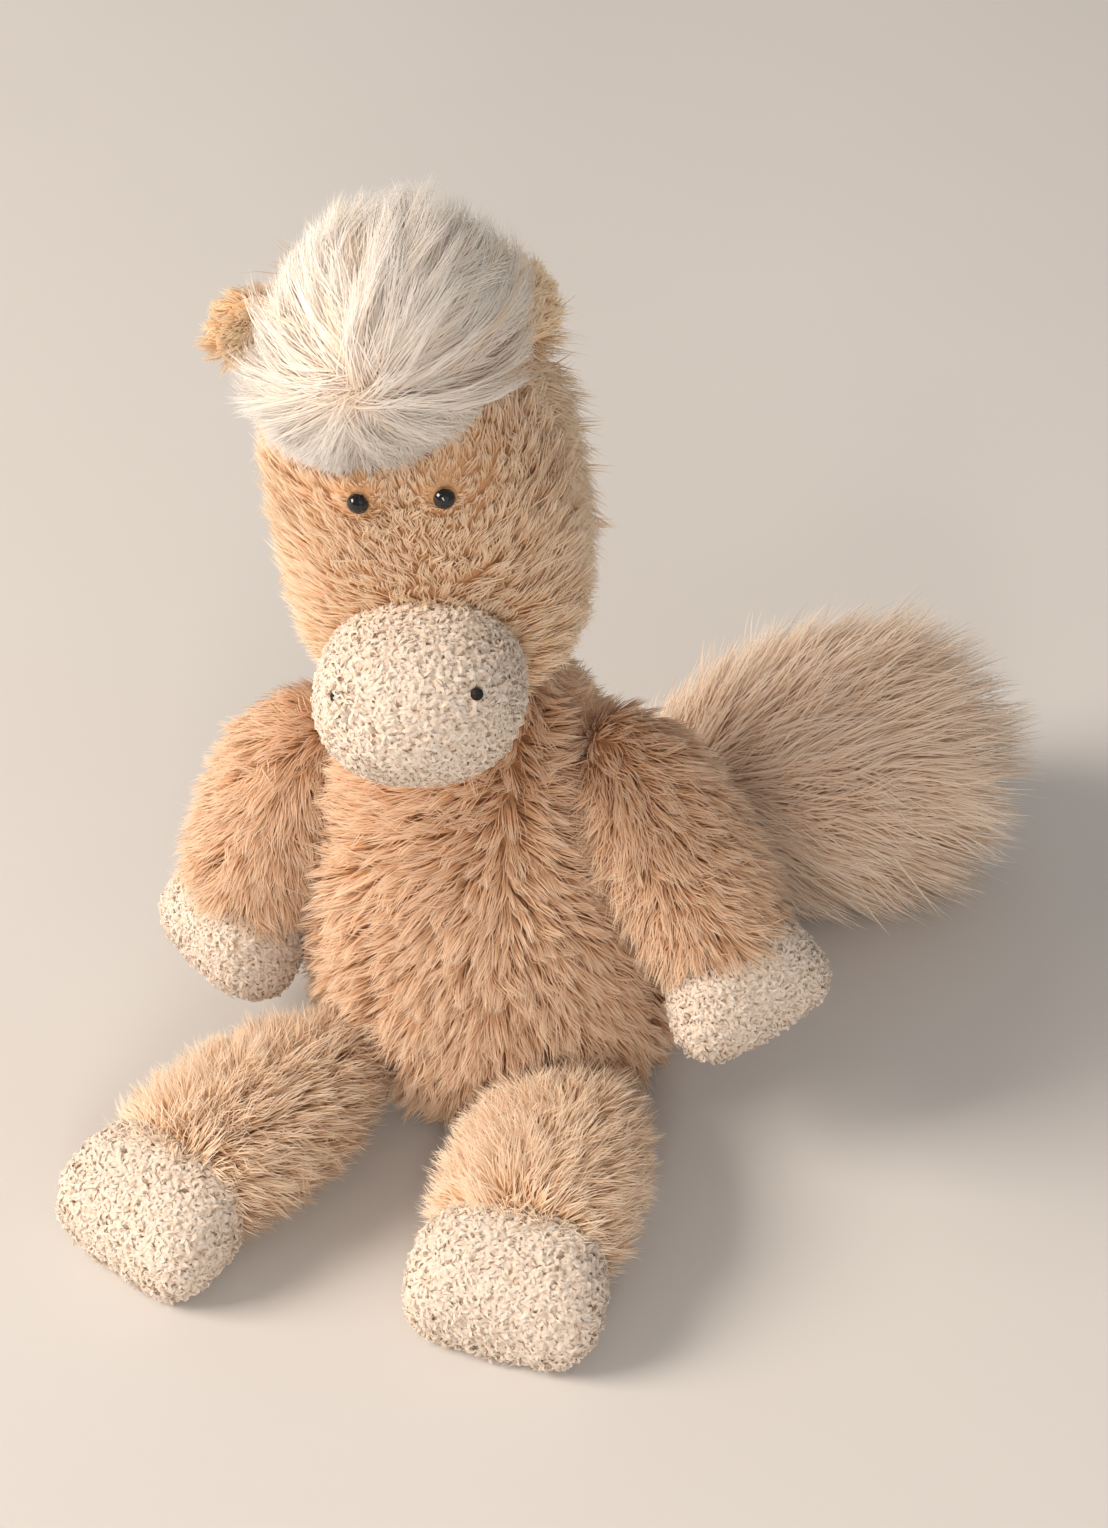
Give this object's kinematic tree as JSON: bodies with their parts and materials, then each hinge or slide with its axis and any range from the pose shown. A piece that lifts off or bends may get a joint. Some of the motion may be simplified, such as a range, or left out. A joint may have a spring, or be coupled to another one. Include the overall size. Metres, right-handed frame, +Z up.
{
  "type": "plush horse",
  "caption": "Sitting stuffed toy horse with long fur, curly hooves and muzzle, hair tufts, a bushy tail and limbs that swing at their seams.",
  "frame": {"origin": "middle of the flat seat that the toy sits on", "axes": "+Z up out of the floor, -Y the way the toy faces, +X towards the toy's own left"},
  "size_m": [0.2721, 0.3073, 0.3137],
  "materials": {
    "tan_pile": "long tan pile, matt",
    "short_pile": "short brushed pile, matt",
    "cream_curl": "curly loop pile, matt",
    "white_hair": "long silky hair pile",
    "tail_hair": "long silky hair pile",
    "stuffing": "loose polyester fibre",
    "pouch_cloth": "plain woven cloth",
    "black_thread": "stitched thread, matt",
    "black_gloss": "polished",
    "washer_plastic": "moulded"
  },
  "bodies": {
    "torso": {"torso_cover": "tan_pile", "torso_filling": "stuffing", "bean_pouch": "pouch_cloth"},
    "neck": {"neck_filling": "stuffing"},
    "head": {"head_cover": "tan_pile", "head_filling": "stuffing", "muzzle_cover": "cream_curl", "snout_filling": "stuffing", "forelock": "white_hair", "mane": "white_hair", "left_eye": "black_gloss", "right_eye": "black_gloss", "left_eye_washer": "washer_plastic", "right_eye_washer": "washer_plastic", "left_nostril": "black_thread", "right_nostril": "black_thread"},
    "left_ear": {"left_ear_back": "tan_pile", "left_ear_lining": "short_pile"},
    "right_ear": {"right_ear_back": "tan_pile", "right_ear_lining": "short_pile"},
    "left_arm": {"left_arm_cover": "tan_pile", "left_arm_filling": "stuffing", "left_arm_hoof": "cream_curl"},
    "right_arm": {"right_arm_cover": "tan_pile", "right_arm_filling": "stuffing", "right_arm_hoof": "cream_curl"},
    "left_leg": {"left_leg_cover": "tan_pile", "left_leg_filling": "stuffing", "left_leg_hoof": "cream_curl"},
    "right_leg": {"right_leg_cover": "tan_pile", "right_leg_filling": "stuffing", "right_leg_hoof": "cream_curl"},
    "tail": {"tail_cover": "tail_hair", "tail_filling": "stuffing"}
  },
  "joints": [
    {"name": "head_turn", "type": "hinge", "parent": "torso", "child": "neck", "pos_m": [-0.0145, 0.002, 0.146], "axis": [0, 0, 1], "range_deg": [-25, 25]},
    {"name": "head_nod", "type": "hinge", "parent": "neck", "child": "head", "pos_m": [-0.0145, 0.002, 0.146], "axis": [0.9903, 0.1392, 0], "range_deg": [-8, 10]},
    {"name": "left_ear_fold", "type": "hinge", "parent": "head", "child": "left_ear", "pos_m": [0.00145, 0.01232, 0.26207], "axis": [-0.5751, -0.0808, 0.8141], "range_deg": [-60, 5]},
    {"name": "right_ear_fold", "type": "hinge", "parent": "head", "child": "right_ear", "pos_m": [-0.0658, 0.00287, 0.25553], "axis": [-0.4107, -0.0577, -0.91], "range_deg": [-5, 60]},
    {"name": "left_arm_swing", "type": "hinge", "parent": "torso", "child": "left_arm", "pos_m": [0.03156, 0, 0.1365], "axis": [0, -1, 0], "range_deg": [0, 60]},
    {"name": "right_arm_swing", "type": "hinge", "parent": "torso", "child": "right_arm", "pos_m": [-0.05544, 0, 0.1285], "axis": [0, 1, 0], "range_deg": [0, 60]},
    {"name": "left_leg_splay", "type": "hinge", "parent": "torso", "child": "left_leg", "pos_m": [0.03728, -0.04443, 0.0213], "axis": [0, 0, 1], "range_deg": [0, 30]},
    {"name": "right_leg_splay", "type": "hinge", "parent": "torso", "child": "right_leg", "pos_m": [-0.03881, -0.0431, 0.0213], "axis": [0, 0, -1], "range_deg": [0, 25]},
    {"name": "tail_wag", "type": "hinge", "parent": "torso", "child": "tail", "pos_m": [0.01403, 0.05628, 0.034], "axis": [0, 0, 1], "range_deg": [0, 60]}
  ]
}
